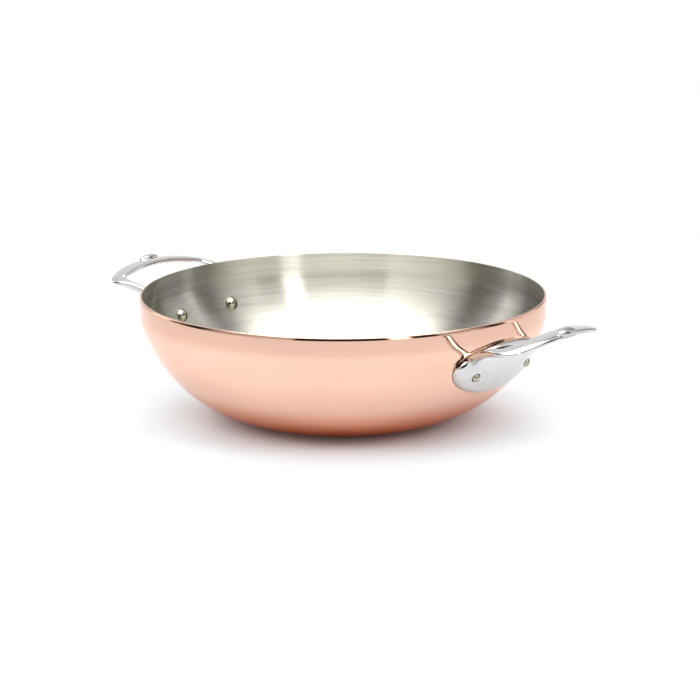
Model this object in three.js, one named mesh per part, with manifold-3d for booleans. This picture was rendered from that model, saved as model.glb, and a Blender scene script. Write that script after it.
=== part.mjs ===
// A copper wok with two riveted side handles.
// Millimetres, +Z up. The origin is on the table under the middle of the base, and the handles lie along X.
import * as THREE from 'three';
import { mergeVertices } from 'three/addons/utils/BufferGeometryUtils.js';
import Module from 'manifold-3d';

const wasm = await Module();
wasm.setup();

// Bowl: flat base, round belly, tighter shoulder and a short upright wall at the rim
const RIM_RADIUS = 162;
const BOWL_HEIGHT = 100.5;
const BASE_RADIUS = 54.5;
const SHOULDER_RADIUS = 35.5;
const RIM_WALL = 13.5;
const COPPER_THICKNESS = 1.5;
const LINING_THICKNESS = 0.5;
const BOND_GAP = 0.1;
const ROUND_STEPS = 72;
const BELLY_STEPS = 9;
const SHOULDER_STEPS = 3;

// Handle plate: an egg-shaped oval, widest on its own line, crowned between its upper and lower edges
const PLATE_LINE_HEIGHT = 68.5;
const PLATE_HALF_WIDTH = 48;
const PLATE_RISE = 17;
const PLATE_DROP = 25;
const PLATE_MIDDLE_THICKNESS = 8.4;
const PLATE_EDGE_THICKNESS = 5.8;
const PLATE_END_THICKNESS = 5.4;
const PLATE_OUTLINE_STEPS = 20;
const PLATE_GAP = 0.3;

// Handle loop: where the middle of its top face runs, from the bar's middle to the root in the plate
const LOOP_REACH = 213.6;
const BAR_BOW = 2.4;
const LOOP_HALF_SPREAD = 50.6;
const ROOT_HALF_SPREAD = 38;
const CROWN_HEIGHT = 100.8;
const BAR_END_HEIGHT = 98.2;
const CORNER_HEIGHT = 93.8;
const ARM_HEIGHT = 90.8;
const ROOT_HEIGHT = 79.5;
const CORNER_RUN = 19;
const CORNER_DEPTH = 9.8;
const ARM_DEPTH = 30;
const ARM_DRAW_IN = 0.8;
const ROOT_SINK = 3.2;
const BAR_WIDTH = 15;
const CORNER_WIDTH = 12.8;
const ARM_WIDTH = 7.2;
const BAR_THICKNESS = 6;
const CORNER_THICKNESS = 4.8;
const ARM_THICKNESS = 6.2;
const BAR_DROOP = THREE.MathUtils.degToRad(3);
const CORNER_DROOP = THREE.MathUtils.degToRad(12);
const LOOP_STEPS = 44;
const SECTION_STEPS = 16;
const SECTION_SQUARENESS = 3.2;

// Plain boss on the outer half of the bar's middle
const BOSS_LENGTH = 16;
const BOSS_WIDTH = 8;
const BOSS_RISE = 2.9;
const BOSS_SHIFT = 5;
const BOSS_SINK = 0.6;
const BOSS_DROOP = THREE.MathUtils.degToRad(20);

// Rivets, square to the wall
const RIVET_LINE_DEPTH = 36.2;
const RIVET_HALF_ANGLE = THREE.MathUtils.degToRad(11.2);
const RIVET_RADIUS = 3;
const RIVET_HOLE_GAP = 0.3;
const RIVET_HEAD_RADIUS = 5.3;
const RIVET_HEAD_HEIGHT = 3.4;
const RIVET_HEAD_SEAT = 0.75;
const RIVET_END_STAND = 0.3;
const RIVET_END_HEIGHT = 1.1;
const RIVET_HOLE_LENGTH = 50;
const RIVET_STEPS = 20;
const RIVET_DOME_STEPS = 5;

// Vertices closer than these are one vertex: along a seam before a cut, and anywhere after it.
const SEAM_WELD = 1e-4;
const CUT_WELD = 2e-3;

const copper = new THREE.MeshStandardMaterial({ color: 0xd98f6c, roughness: 0.16, metalness: 1 });
const brushedSteel = new THREE.MeshStandardMaterial({ color: 0xb9b8b0, roughness: 0.36, metalness: 1 });
const castSteel = new THREE.MeshStandardMaterial({ color: 0xd3d4d6, roughness: 0.14, metalness: 1 });
const rivetSteel = new THREE.MeshStandardMaterial({ color: 0xc9c5b4, roughness: 0.2, metalness: 1 });

// The belly is tangent to the base and to the shoulder, so its radius and sweep follow from the other sizes.
const SHOULDER_TOP = BOWL_HEIGHT - RIM_WALL;
const SHOULDER_CENTRE = new THREE.Vector2(RIM_RADIUS - SHOULDER_RADIUS, SHOULDER_TOP);
const BELLY_RADIUS = bellyRadius();
const BELLY_CENTRE = new THREE.Vector2(BASE_RADIUS, BELLY_RADIUS);
const BELLY_SWEEP = Math.atan2(SHOULDER_CENTRE.x - BELLY_CENTRE.x, BELLY_CENTRE.y - SHOULDER_CENTRE.y);

function bellyRadius() {
  const across = SHOULDER_CENTRE.x - BASE_RADIUS;
  const reach = across ** 2 + SHOULDER_TOP ** 2 - SHOULDER_RADIUS ** 2;
  return reach / (2 * (SHOULDER_TOP - SHOULDER_RADIUS));
}

// Joins and cuts work on closed solids.
function toSolid(geometry) {
  const bare = geometry.clone();
  bare.deleteAttribute('normal');
  bare.deleteAttribute('uv');
  const merged = mergeVertices(bare, SEAM_WELD);
  return new wasm.Manifold(new wasm.Mesh({
    numProp: 3,
    vertProperties: new Float32Array(merged.attributes.position.array),
    triVerts: new Uint32Array(merged.index.array),
  }));
}

// Vertices that a cut leaves closer than the weld are one vertex, and the slivers between them go.
function toGeometry(solid) {
  const { vertProperties, triVerts } = solid.getMesh();
  const cut = new THREE.BufferGeometry();
  cut.setAttribute('position', new THREE.BufferAttribute(new Float32Array(vertProperties), 3));
  cut.setIndex(new THREE.BufferAttribute(new Uint32Array(triVerts), 1));
  const welded = mergeVertices(cut, CUT_WELD);
  const kept = [];
  for (let i = 0; i < welded.index.count; i += 3) {
    const face = [0, 1, 2].map((corner) => welded.index.getX(i + corner));
    if (new Set(face).size === 3) kept.push(...face);
  }
  welded.setIndex(kept);
  welded.computeVertexNormals();
  return welded;
}

// A point of the outer wall at a slope angle: 0 on the flat base, a quarter turn on the upright wall.
function wallPoint(slope, offset = 0) {
  const onBelly = slope <= BELLY_SWEEP;
  const centre = onBelly ? BELLY_CENTRE : SHOULDER_CENTRE;
  const radius = (onBelly ? BELLY_RADIUS : SHOULDER_RADIUS) + offset;
  return new THREE.Vector2(centre.x + radius * Math.sin(slope), centre.y - radius * Math.cos(slope));
}

// The slope angle of the wall at a height below the upright part.
function wallSlope(height) {
  const onBelly = height <= wallPoint(BELLY_SWEEP).y;
  const centre = onBelly ? BELLY_CENTRE : SHOULDER_CENTRE;
  const radius = onBelly ? BELLY_RADIUS : SHOULDER_RADIUS;
  return Math.acos((centre.y - height) / radius);
}

// The wall's slope angles from the base to the top of the shoulder.
function wallSlopes() {
  const slopes = [];
  for (let i = 0; i <= BELLY_STEPS; i++) slopes.push((BELLY_SWEEP * i) / BELLY_STEPS);
  for (let i = 1; i <= SHOULDER_STEPS; i++) {
    slopes.push(BELLY_SWEEP + ((Math.PI / 2 - BELLY_SWEEP) * i) / SHOULDER_STEPS);
  }
  return slopes;
}

// The wall's profile from the axis to the top, offset outwards by a distance at each height.
function wallProfile(offsetAt, top) {
  const points = wallSlopes().map((slope) => wallPoint(slope, offsetAt(wallPoint(slope).y)));
  points.unshift(new THREE.Vector2(0, points[0].y));
  points.push(new THREE.Vector2(RIM_RADIUS + offsetAt(top), top));
  return points;
}

// A profile turned about Z. It runs up the outside and ends on the axis.
function turned(points, steps = ROUND_STEPS) {
  return new THREE.LatheGeometry(points, steps).rotateX(Math.PI / 2);
}

// A cup between two offsets of the wall, open at the top.
function cup(outerOffset, innerOffset) {
  const outside = wallProfile(() => outerOffset, BOWL_HEIGHT);
  const inside = wallProfile(() => innerOffset, BOWL_HEIGHT).reverse();
  return toSolid(turned([...outside, ...inside]));
}

// A full body out to an offset of the wall.
function bowlBody(offsetAt, top) {
  return toSolid(turned([...wallProfile(offsetAt, top), new THREE.Vector2(0, top)]));
}

// Rivets: each frame stands on the outer wall with its Z axis along the wall's outward normal
const rivetHeight = BOWL_HEIGHT - RIVET_LINE_DEPTH;
const rivetSlope = wallSlope(rivetHeight);
const rivetSpot = wallPoint(rivetSlope);

function rivetFrame(side) {
  const lean = new THREE.Matrix4().makeRotationY(Math.PI - rivetSlope);
  const place = new THREE.Matrix4().makeTranslation(rivetSpot.x, 0, rivetSpot.y);
  const around = new THREE.Matrix4().makeRotationZ(side * RIVET_HALF_ANGLE);
  return around.multiply(place).multiply(lean);
}

// A shallow dome's profile from its crown to its edge, as distances from the axis and below the crown.
function domeProfile(radius, height) {
  const ball = (radius ** 2 + height ** 2) / (2 * height);
  const sweep = Math.asin(radius / ball);
  const points = [];
  for (let i = 0; i <= RIVET_DOME_STEPS; i++) {
    const angle = (sweep * i) / RIVET_DOME_STEPS;
    points.push({ out: ball * Math.sin(angle), drop: ball * (1 - Math.cos(angle)) });
  }
  return points;
}

// A rivet along its frame's Z axis: a head on the lining, a shank and a low dome outside the plate.
function rivetGeometry() {
  const seat = -(COPPER_THICKNESS + BOND_GAP + LINING_THICKNESS + RIVET_HEAD_SEAT);
  const crown = PLATE_GAP + plateThicknessAtRivet() + RIVET_END_STAND + RIVET_END_HEIGHT;
  const head = domeProfile(RIVET_HEAD_RADIUS, RIVET_HEAD_HEIGHT)
    .map(({ out, drop }) => new THREE.Vector2(out, seat - RIVET_HEAD_HEIGHT + drop));
  const end = domeProfile(RIVET_RADIUS, RIVET_END_HEIGHT).reverse()
    .map(({ out, drop }) => new THREE.Vector2(out, crown - drop));
  return turned([...head, new THREE.Vector2(RIVET_RADIUS, seat), ...end], RIVET_STEPS);
}

// The hole for one rivet, from well inside the bowl to well outside the plate.
function rivetHole(side) {
  const radius = RIVET_RADIUS + RIVET_HOLE_GAP;
  const hole = new THREE.CylinderGeometry(radius, radius, RIVET_HOLE_LENGTH, RIVET_STEPS);
  return toSolid(hole.rotateX(Math.PI / 2).applyMatrix4(rivetFrame(side)));
}

// The plate's thickness at a height: full on its line, thinner towards its upper and lower edges.
function plateThickness(height) {
  const away = height - PLATE_LINE_HEIGHT;
  const share = Math.min(Math.abs(away / (away > 0 ? PLATE_RISE : PLATE_DROP)), 1);
  return PLATE_MIDDLE_THICKNESS - (PLATE_MIDDLE_THICKNESS - PLATE_EDGE_THICKNESS) * share ** 2;
}

// The plate's thickness at a rivet, where the face is already drawn in towards the plate's end.
function plateThicknessAtRivet() {
  const share = (rivetSpot.x * Math.sin(RIVET_HALF_ANGLE)) / PLATE_HALF_WIDTH;
  return plateThickness(rivetHeight) - (PLATE_MIDDLE_THICKNESS - PLATE_END_THICKNESS) * share ** 2;
}

// The plate: its oval, extruded outwards, kept between the wall and the plate's crowned face.
function plateSolid() {
  const oval = new THREE.Shape();
  oval.absellipse(0, PLATE_LINE_HEIGHT, PLATE_HALF_WIDTH, PLATE_RISE, 0, Math.PI);
  oval.absellipse(0, PLATE_LINE_HEIGHT, PLATE_HALF_WIDTH, PLATE_DROP, Math.PI, 2 * Math.PI);
  const depth = RIM_RADIUS + PLATE_GAP + PLATE_MIDDLE_THICKNESS;
  const block = new THREE.ExtrudeGeometry(oval, {
    depth, bevelEnabled: false, curveSegments: PLATE_OUTLINE_STEPS,
  });
  block.applyMatrix4(new THREE.Matrix4().makeBasis(
    new THREE.Vector3(0, 1, 0), new THREE.Vector3(0, 0, 1), new THREE.Vector3(1, 0, 0)));
  const face = bowlBody((height) => PLATE_GAP + plateThickness(height), BOWL_HEIGHT);
  return toSolid(block).intersect(face.scale([1, faceDrawIn(), 1]));
}

// How far the crowned face is drawn in across the plate, so that it meets both ends at their own thickness.
function faceDrawIn() {
  const wall = wallPoint(wallSlope(PLATE_LINE_HEIGHT)).x;
  const middle = wall + PLATE_GAP + PLATE_MIDDLE_THICKNESS;
  const end = Math.sqrt(wall ** 2 - PLATE_HALF_WIDTH ** 2) + PLATE_GAP + PLATE_END_THICKNESS;
  return PLATE_HALF_WIDTH / Math.sqrt(middle ** 2 - end ** 2);
}

// Stations along the loop, in mirrored halves: middle of the top face, and width, thickness and droop.
function loopStations() {
  const wallAtRoot = Math.sqrt(wallPoint(wallSlope(ROOT_HEIGHT)).x ** 2 - ROOT_HALF_SPREAD ** 2);
  const bar = [BAR_WIDTH, BAR_THICKNESS, BAR_DROOP];
  const corner = [CORNER_WIDTH, CORNER_THICKNESS, CORNER_DROOP];
  const arm = [ARM_WIDTH, ARM_THICKNESS, 0];
  const half = [
    { at: [LOOP_REACH, 0, CROWN_HEIGHT], size: bar },
    { at: [LOOP_REACH - BAR_BOW, LOOP_HALF_SPREAD - CORNER_RUN, BAR_END_HEIGHT], size: bar },
    { at: [LOOP_REACH - CORNER_DEPTH, LOOP_HALF_SPREAD, CORNER_HEIGHT], size: corner },
    { at: [LOOP_REACH - ARM_DEPTH, LOOP_HALF_SPREAD - ARM_DRAW_IN, ARM_HEIGHT], size: arm },
    { at: [wallAtRoot + ROOT_SINK, ROOT_HALF_SPREAD, ROOT_HEIGHT], size: arm },
  ];
  const mirrored = half.slice(1).reverse().map(({ at, size }) => (
    { at: [at[0], -at[1], at[2]], size }));
  return [...mirrored, ...half];
}

// The loop's width, thickness and droop at a share of its way, eased from one station to the next.
function loopSection(stations, share) {
  const place = share * (stations.length - 1);
  const first = Math.min(Math.floor(place), stations.length - 2);
  const weight = THREE.MathUtils.smoothstep(place - first, 0, 1);
  return stations[first].size.map((value, k) => (
    THREE.MathUtils.lerp(value, stations[first + 1].size[k], weight)));
}

// One ring of the loop: a squared-off oval under the top face, with its outer edge lowered by the droop.
function loopRing(path, stations, share) {
  const middle = path.getPoint(share);
  const along = path.getTangent(share);
  const [width, thickness, droop] = loopSection(stations, share);
  const outward = new THREE.Vector3(along.y, -along.x, 0).normalize();
  const upward = new THREE.Vector3().crossVectors(outward, along).normalize();
  outward.applyAxisAngle(along, droop);
  upward.applyAxisAngle(along, droop);
  const round = (value) => Math.sign(value) * Math.abs(value) ** (2 / SECTION_SQUARENESS);
  const ring = [];
  for (let i = 0; i < SECTION_STEPS; i++) {
    const angle = (2 * Math.PI * i) / SECTION_STEPS;
    const point = middle.clone();
    point.addScaledVector(outward, (width / 2) * round(Math.cos(angle)));
    point.addScaledVector(upward, (thickness / 2) * (round(Math.sin(angle)) - 1));
    ring.push(point);
  }
  return ring;
}

// Rings joined into one closed skin, with a flat cap at each end.
function skin(rings) {
  const count = rings[0].length;
  const faces = [];
  for (let r = 0; r + 1 < rings.length; r++) {
    for (let i = 0; i < count; i++) {
      const a = r * count + i;
      const b = r * count + ((i + 1) % count);
      faces.push(a, b + count, b, a, a + count, b + count);
    }
  }
  const last = (rings.length - 1) * count;
  for (let i = 1; i + 1 < count; i++) {
    faces.push(0, i, i + 1);
    faces.push(last, last + i + 1, last + i);
  }
  const geometry = new THREE.BufferGeometry().setFromPoints(rings.flat());
  geometry.setIndex(faces);
  return geometry;
}

function loopSolid() {
  const stations = loopStations();
  const path = new THREE.CatmullRomCurve3(stations.map(({ at }) => new THREE.Vector3(...at)));
  const rings = [];
  for (let i = 0; i <= LOOP_STEPS; i++) rings.push(loopRing(path, stations, i / LOOP_STEPS));
  return toSolid(skin(rings));
}

// A low oval boss, half sunk in the bar's outer half and leaning outwards.
function bossSolid() {
  const boss = new THREE.SphereGeometry(1, SECTION_STEPS, SECTION_STEPS / 2);
  boss.scale(BOSS_WIDTH / 2, BOSS_LENGTH / 2, BOSS_RISE);
  boss.rotateY(BOSS_DROOP).translate(LOOP_REACH + BOSS_SHIFT, 0, CROWN_HEIGHT - BOSS_SINK);
  return toSolid(boss);
}

function handleGeometry() {
  const casting = plateSolid().add(loopSolid()).add(bossSolid());
  const clear = casting.subtract(bowlBody(() => PLATE_GAP, BOWL_HEIGHT));
  return toGeometry(clear.subtract(rivetHole(-1)).subtract(rivetHole(1)));
}

// The bowl's two layers, with the four rivet holes through both
function drilled(solid) {
  const halfTurn = [0, 0, 180];
  const pair = rivetHole(-1).add(rivetHole(1));
  return toGeometry(solid.subtract(pair).subtract(pair.rotate(halfTurn)));
}

const wok = new THREE.Group();

function addMesh(parent, name, geometry, material) {
  const mesh = new THREE.Mesh(geometry, material);
  mesh.name = name;
  parent.add(mesh);
  return mesh;
}

addMesh(wok, 'copper_body', drilled(cup(0, -COPPER_THICKNESS)), copper);
const liningOutside = -(COPPER_THICKNESS + BOND_GAP);
addMesh(wok, 'steel_lining', drilled(cup(liningOutside, liningOutside - LINING_THICKNESS)), brushedSteel);

const handle = handleGeometry();
const rivet = rivetGeometry();
for (const [side, turn] of [['right', 0], ['left', Math.PI]]) {
  const mount = new THREE.Group();
  mount.rotation.z = turn;
  wok.add(mount);
  addMesh(mount, `handle_${side}`, handle, castSteel);
  const frontSide = turn === 0 ? -1 : 1;
  for (const [end, at] of [['front', frontSide], ['back', -frontSide]]) {
    const mesh = addMesh(mount, `rivet_${side}_${end}`, rivet, rivetSteel);
    mesh.applyMatrix4(rivetFrame(at));
  }
}

export default wok;
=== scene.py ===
"""A copper wok with a brushed steel lining and two riveted cast handles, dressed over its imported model."""

import math

import bpy
import numpy as np
from bpy.props import FloatProperty, FloatVectorProperty, PointerProperty
from bpy.types import Operator, Panel, PropertyGroup
from mathutils import Matrix, Vector


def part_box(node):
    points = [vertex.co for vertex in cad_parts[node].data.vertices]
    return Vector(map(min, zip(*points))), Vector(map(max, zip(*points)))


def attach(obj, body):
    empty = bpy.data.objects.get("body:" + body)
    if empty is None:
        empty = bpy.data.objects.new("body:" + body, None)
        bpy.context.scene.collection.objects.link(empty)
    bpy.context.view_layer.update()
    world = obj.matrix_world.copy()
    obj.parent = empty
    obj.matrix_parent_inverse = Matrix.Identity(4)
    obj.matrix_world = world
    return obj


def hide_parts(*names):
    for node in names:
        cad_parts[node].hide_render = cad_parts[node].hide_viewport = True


bl_info = {
    "name": "Copper wok",
    "version": (1, 0, 0),
    "blender": (4, 5, 0),
    "location": "3D View > Sidebar > Wok",
    "description": "Builds the wok's polished shell, brushed lining, cast handles and rivets, and a studio",
    "category": "Object",
}

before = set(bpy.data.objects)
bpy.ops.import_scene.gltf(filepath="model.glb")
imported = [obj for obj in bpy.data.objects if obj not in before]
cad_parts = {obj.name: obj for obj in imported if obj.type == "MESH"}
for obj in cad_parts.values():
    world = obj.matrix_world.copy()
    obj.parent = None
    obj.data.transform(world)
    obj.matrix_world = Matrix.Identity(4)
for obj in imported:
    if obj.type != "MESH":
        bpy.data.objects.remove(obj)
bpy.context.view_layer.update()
SHELL_TOP_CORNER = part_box("copper_body")[1]

MM = 0.001
TURN_STEPS = 300


def length(name, description, default):
    """A length in metres that the sidebar shows in the scene's units."""
    return FloatProperty(name=name, description=description, default=default, precision=5, unit="LENGTH")


def colour(name, description, default):
    """A linear colour."""
    return FloatVectorProperty(
        name=name, description=description, default=default, size=3, min=0.0, max=1.0, subtype="COLOR")


def angle(name, description, degrees):
    """An angle, kept in radians."""
    return FloatProperty(
        name=name, description=description, default=math.radians(degrees), subtype="ANGLE", unit="ROTATION")


def level(name, description, default):
    """A light's strength."""
    return FloatProperty(name=name, description=description, default=default, min=0.0)


class WokBowl(PropertyGroup):
    """Sizes and colours of the shell and its lining."""

    rim_radius: length("Rim radius", "Outside of the upright wall", SHELL_TOP_CORNER.x)
    height: length("Height", "From the table to the rim", SHELL_TOP_CORNER.z)
    base_radius: length("Base radius", "Flat part of the base", 54.5 * MM)
    shoulder_radius: length("Shoulder radius", "Arc between the belly and the upright wall", 35.5 * MM)
    rim_wall: length("Rim wall", "Height of the upright wall", 13.5 * MM)
    copper_thickness: length("Copper thickness", "Wall of the shell", 1.5 * MM)
    lining_thickness: length("Lining thickness", "Wall of the lining", 0.5 * MM)
    lip_width: length("Lip width", "Width of the rounding on the shell's outer top edge", 1.3 * MM)
    lip_height: length("Lip height", "Height of that rounding", 3.3 * MM)
    copper: colour("Copper", "Polished copper, straight on", (0.92, 0.585, 0.45))
    copper_edge: colour("Copper edge", "Tint of the copper at a grazing view", (1.0, 0.94, 0.91))
    # Painted shade: the deeper copper and its grazing tint by the base stand in for the darker reflection of
    # the shadowed floor under the belly
    copper_base_shade: colour("Copper low", "Deeper tone of the copper by the base", (0.79, 0.24, 0.1))
    copper_base_shade_edge: colour("Copper low edge", "The same at a grazing view", (0.82, 0.44, 0.3))
    # Painted shade: the duller copper on the upright wall stands in for its dimmer reflection of the floor
    # further off
    copper_wall_shade: colour("Copper wall", "Duller tone of the copper on the upright wall", (0.8, 0.5, 0.38))
    lining: colour("Lining", "Brushed stainless steel", (0.68, 0.66, 0.595))


class WokHandle(PropertyGroup):
    """Sizes and colour of a cast handle."""

    plate_line: length("Plate line", "Height of the plate's widest line", 68.5 * MM)
    plate_half_width: length("Plate half width", "Half the plate's width", 48 * MM)
    plate_rise: length("Plate rise", "From the widest line to the plate's top", 17 * MM)
    plate_drop: length("Plate drop", "From the widest line to the plate's foot", 25 * MM)
    plate_middle: length("Plate middle", "Thickness in the middle", 8.4 * MM)
    plate_edge: length("Plate edge", "Thickness at the top and foot", 5.8 * MM)
    plate_end: length("Plate end", "Thickness at both ends", 5.4 * MM)
    plate_round: length("Plate round", "Rounding of the plate's outer edge", 3.6 * MM)
    plate_gap: length("Plate gap", "Seam between the plate and the shell", 0.3 * MM)
    reach: length("Reach", "From the axis to the middle of the bar", 213.6 * MM)
    half_spread: length("Half spread", "Half the loop's width", 50.6 * MM)
    bar_width: length("Bar width", "Width of the bar", 15 * MM)
    bar_thickness: length("Bar thickness", "Thickness of the bar", 6 * MM)
    arm_width: length("Arm width", "Width of the arms", 7.2 * MM)
    arm_thickness: length("Arm thickness", "Thickness of the arms", 6.2 * MM)
    fillet: length("Fillet", "Blend between the loop and the plate", 3 * MM)
    bar_droop: angle("Bar droop", "How far the bar's outer edge is lowered", 3)
    steel: colour("Cast steel", "Polished cast stainless steel", (0.665, 0.65, 0.63))


class WokRivet(PropertyGroup):
    """Sizes and colour of a rivet."""

    depth: length("Depth", "From the rim down to the rivets", 36.2 * MM)
    half_angle: angle("Half angle", "Around the bowl, from the handle's middle", 11.2)
    shank_radius: length("Shank radius", "Radius of the shank", 3.2 * MM)
    hole_gap: length("Hole gap", "Seam around the shank", 0.5 * MM)
    head_radius: length("Head radius", "Radius of the domed head", 5.7 * MM)
    head_height: length("Head height", "Height of the dome", 3.4 * MM)
    end_stand: length("End stand", "How far the shank stands out of the plate", 0.1 * MM)
    end_height: length("End height", "Height of the dome on the shank's end", 2.2 * MM)
    steel: colour("Rivet steel", "Polished steel of the rivets", (0.46, 0.43, 0.35))


class WokStudio(PropertyGroup):
    """Light, floor and camera."""

    floor: colour("Floor", "Plain pale floor", (0.62, 0.638, 0.655))
    dome: level("Dome", "Even light on the floor from all round", 2.04)
    lamps: level("Lamps", "Strength of the low lamps that lift the floor around the wok", 1.0)
    overhead: level("Overhead", "Brightness of the overhead softbox in reflections", 5.0)
    panels: level("Panels", "Brightness of the side panels in reflections", 1.0)
    lens: FloatProperty(name="Lens", description="Focal length", default=129.08, unit="CAMERA")
    distance: length("Distance", "From the camera to the middle of the rim", 2.0)
    azimuth: angle("Azimuth", "Camera's turn around the wok, 0 looks along +Y", 40.8)
    elevation: angle("Elevation", "Camera's height above the horizon", 12.134)
    roll: angle("Roll", "Camera's roll", -0.265)


# Bowl

FINE_STEPS = (64, 28)
PLAIN_STEPS = (18, 6)
FLAT_STEPS = 12
LIP_STEPS = 20
EDGE_STEPS = 12
LINING_SKIN = 0.02 * MM


def wall_arcs(bowl):
    """Centres, radii and joint of the wall's two arcs: the belly touches the base and the shoulder."""
    top = bowl.height - bowl.rim_wall
    shoulder = np.array([bowl.rim_radius - bowl.shoulder_radius, top])
    across = shoulder[0] - bowl.base_radius
    belly_radius = (across**2 + top**2 - bowl.shoulder_radius**2) / (2 * (top - bowl.shoulder_radius))
    belly = np.array([bowl.base_radius, belly_radius])
    sweep = math.atan2(shoulder[0] - belly[0], belly[1] - shoulder[1])
    return belly, belly_radius, shoulder, bowl.shoulder_radius, sweep


def wall_curve(bowl, slopes, offset):
    """Radius and height of the wall, moved out by an offset.

    At a slope s, from 0 on the base to a quarter turn on the upright wall, the point is
    centre + (radius + offset) * (sin s, -cos s). The centre is the belly's up to the joint and then the
    shoulder's.
    """
    belly, belly_radius, shoulder, shoulder_radius, sweep = wall_arcs(bowl)
    low = slopes <= sweep
    radius = np.where(low, belly_radius, shoulder_radius) + offset
    centre = np.where(low[:, None], belly, shoulder)
    return centre[:, 0] + radius * np.sin(slopes), centre[:, 1] - radius * np.cos(slopes)


def wall_distance(bowl, points):
    """How far points lie outside the wall: to the belly's arc, the shoulder's arc or the upright wall."""
    belly, belly_radius, shoulder, shoulder_radius, sweep = wall_arcs(bowl)
    out = np.hypot(points[..., 0], points[..., 1])
    up = points[..., 2]
    to_belly = np.hypot(out - belly[0], up - belly[1]) - belly_radius
    to_shoulder = np.hypot(out - shoulder[0], up - shoulder[1]) - shoulder_radius
    slope = np.arctan2(out - belly[0], belly[1] - up)
    arcs = np.where(slope <= sweep, to_belly, to_shoulder)
    return np.where(up >= shoulder[1], out - bowl.rim_radius, arcs)


def new_object(name, points, quads, triangles=None):
    """A smooth mesh object at the origin from arrays of points, quads and triangles."""
    if triangles is None:
        triangles = np.zeros((0, 3), int)
    mesh = bpy.data.meshes.new(name)
    mesh.vertices.add(len(points))
    mesh.vertices.foreach_set("co", np.asarray(points, np.float32).ravel())
    corners = np.concatenate([quads.ravel(), triangles.ravel()]).astype(np.int32)
    mesh.loops.add(len(corners))
    mesh.loops.foreach_set("vertex_index", corners)
    starts = np.concatenate([4 * np.arange(len(quads)), 4 * len(quads) + 3 * np.arange(len(triangles))])
    mesh.polygons.add(len(starts))
    mesh.polygons.foreach_set("loop_start", starts.astype(np.int32))
    mesh.polygons.foreach_set("use_smooth", np.ones(len(starts), bool))
    mesh.update(calc_edges=True)
    if mesh.validate():
        raise RuntimeError(f"{name} has faces that are not valid")
    piece = bpy.data.objects.new(name, mesh)
    bpy.context.scene.collection.objects.link(piece)
    return piece


def turned_grid(out, up, steps):
    """A closed profile turned about Z.

    point(i, j) = (out_j cos a_i, out_j sin a_i, up_j) with a_i = 2 pi i / steps. The profile starts and ends
    on the axis, where each pole is one point in a fan of triangles. It runs up the outside and back down the
    inside.
    """
    turn = 2 * np.pi * np.arange(steps) / steps
    rows = len(out) - 2
    along_x, along_y = np.outer(np.cos(turn), out[1:-1]), np.outer(np.sin(turn), out[1:-1])
    grid = np.stack([along_x, along_y, np.tile(up[1:-1], (steps, 1))], axis=-1)
    points = np.concatenate([grid.reshape(-1, 3), [[0, 0, up[0]], [0, 0, up[-1]]]])
    here = np.arange(steps * rows).reshape(steps, rows)
    there = np.roll(here, -1, axis=0)
    quads = np.stack([here[:, :-1], there[:, :-1], there[:, 1:], here[:, 1:]], axis=-1).reshape(-1, 4)
    low = np.stack([there[:, 0], here[:, 0], np.full(steps, steps * rows)], axis=-1)
    high = np.stack([here[:, -1], there[:, -1], np.full(steps, steps * rows + 1)], axis=-1)
    return points, quads, np.concatenate([low, high])


def round_corner(centre, width, height, last, steps):
    """Points of an oval arc, from the outside to the last angle: centre + (width cos a, height sin a)."""
    turn = np.linspace(0, last, steps)
    return centre[0] + width * np.cos(turn), centre[1] + height * np.sin(turn)


def bowl_slopes(bowl, belly_steps, shoulder_steps):
    """Slope angles along the wall, closer together on the tighter shoulder."""
    sweep = wall_arcs(bowl)[-1]
    belly = np.linspace(0, sweep, belly_steps)
    return np.concatenate([belly, np.linspace(sweep, np.pi / 2, shoulder_steps)[1:]])


def shell_profile(bowl):
    """The copper's section: base, belly, shoulder, upright wall, rounded lip, then a plain inside."""
    out, up = wall_curve(bowl, bowl_slopes(bowl, *FINE_STEPS), 0)
    flat = np.linspace(0, bowl.base_radius, FLAT_STEPS)[:-1]
    lip_foot = bowl.height - bowl.lip_height
    wall = np.linspace(bowl.height - bowl.rim_wall, lip_foot, FLAT_STEPS)[1:-1]
    lip_centre = (bowl.rim_radius - bowl.lip_width, lip_foot)
    lip_out, lip_up = round_corner(lip_centre, bowl.lip_width, bowl.lip_height, np.pi / 2, LIP_STEPS)
    thick = bowl.copper_thickness
    inner_slopes = bowl_slopes(bowl, *PLAIN_STEPS)[::-1]
    inside_out, inside_up = wall_curve(bowl, inner_slopes, -thick)
    upright = np.full(len(wall), bowl.rim_radius)
    return (
        np.concatenate([flat, out, upright, lip_out, [bowl.rim_radius - thick], inside_out, [0]]),
        np.concatenate([np.zeros(len(flat)), up, wall, lip_up, [bowl.height], inside_up, [thick]]))


def lining_profile(bowl):
    """The lining's section: a plain outside by the copper, a rounded edge at the rim and a fine inside."""
    outside = -bowl.copper_thickness - LINING_SKIN
    inside = outside - bowl.lining_thickness
    out, up = wall_curve(bowl, bowl_slopes(bowl, *PLAIN_STEPS), outside)
    half = bowl.lining_thickness / 2
    edge_centre = (bowl.rim_radius + outside - half, bowl.height - half)
    edge_out, edge_up = round_corner(edge_centre, half, half, np.pi, EDGE_STEPS)
    wall = np.linspace(bowl.height - half, bowl.height - bowl.rim_wall, FLAT_STEPS)[1:-1]
    inside_out, inside_up = wall_curve(bowl, bowl_slopes(bowl, *FINE_STEPS)[::-1], inside)
    flat = np.linspace(bowl.base_radius, 0, FLAT_STEPS)[1:]
    upright = np.full(len(wall), bowl.rim_radius + inside)
    level_floor = np.full(len(flat), inside_up[-1])
    return (
        np.concatenate([[0], out, edge_out, upright, inside_out, flat]),
        np.concatenate([[up[0]], up, edge_up, wall, inside_up, level_floor]))


# Rivets

RIVET_STEPS = 64
HEAD_STEPS = 26
END_STEPS = 18
HEAD_SEAT = 0.75 * MM
SKIRT_ROUND = 0.2 * MM


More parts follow.
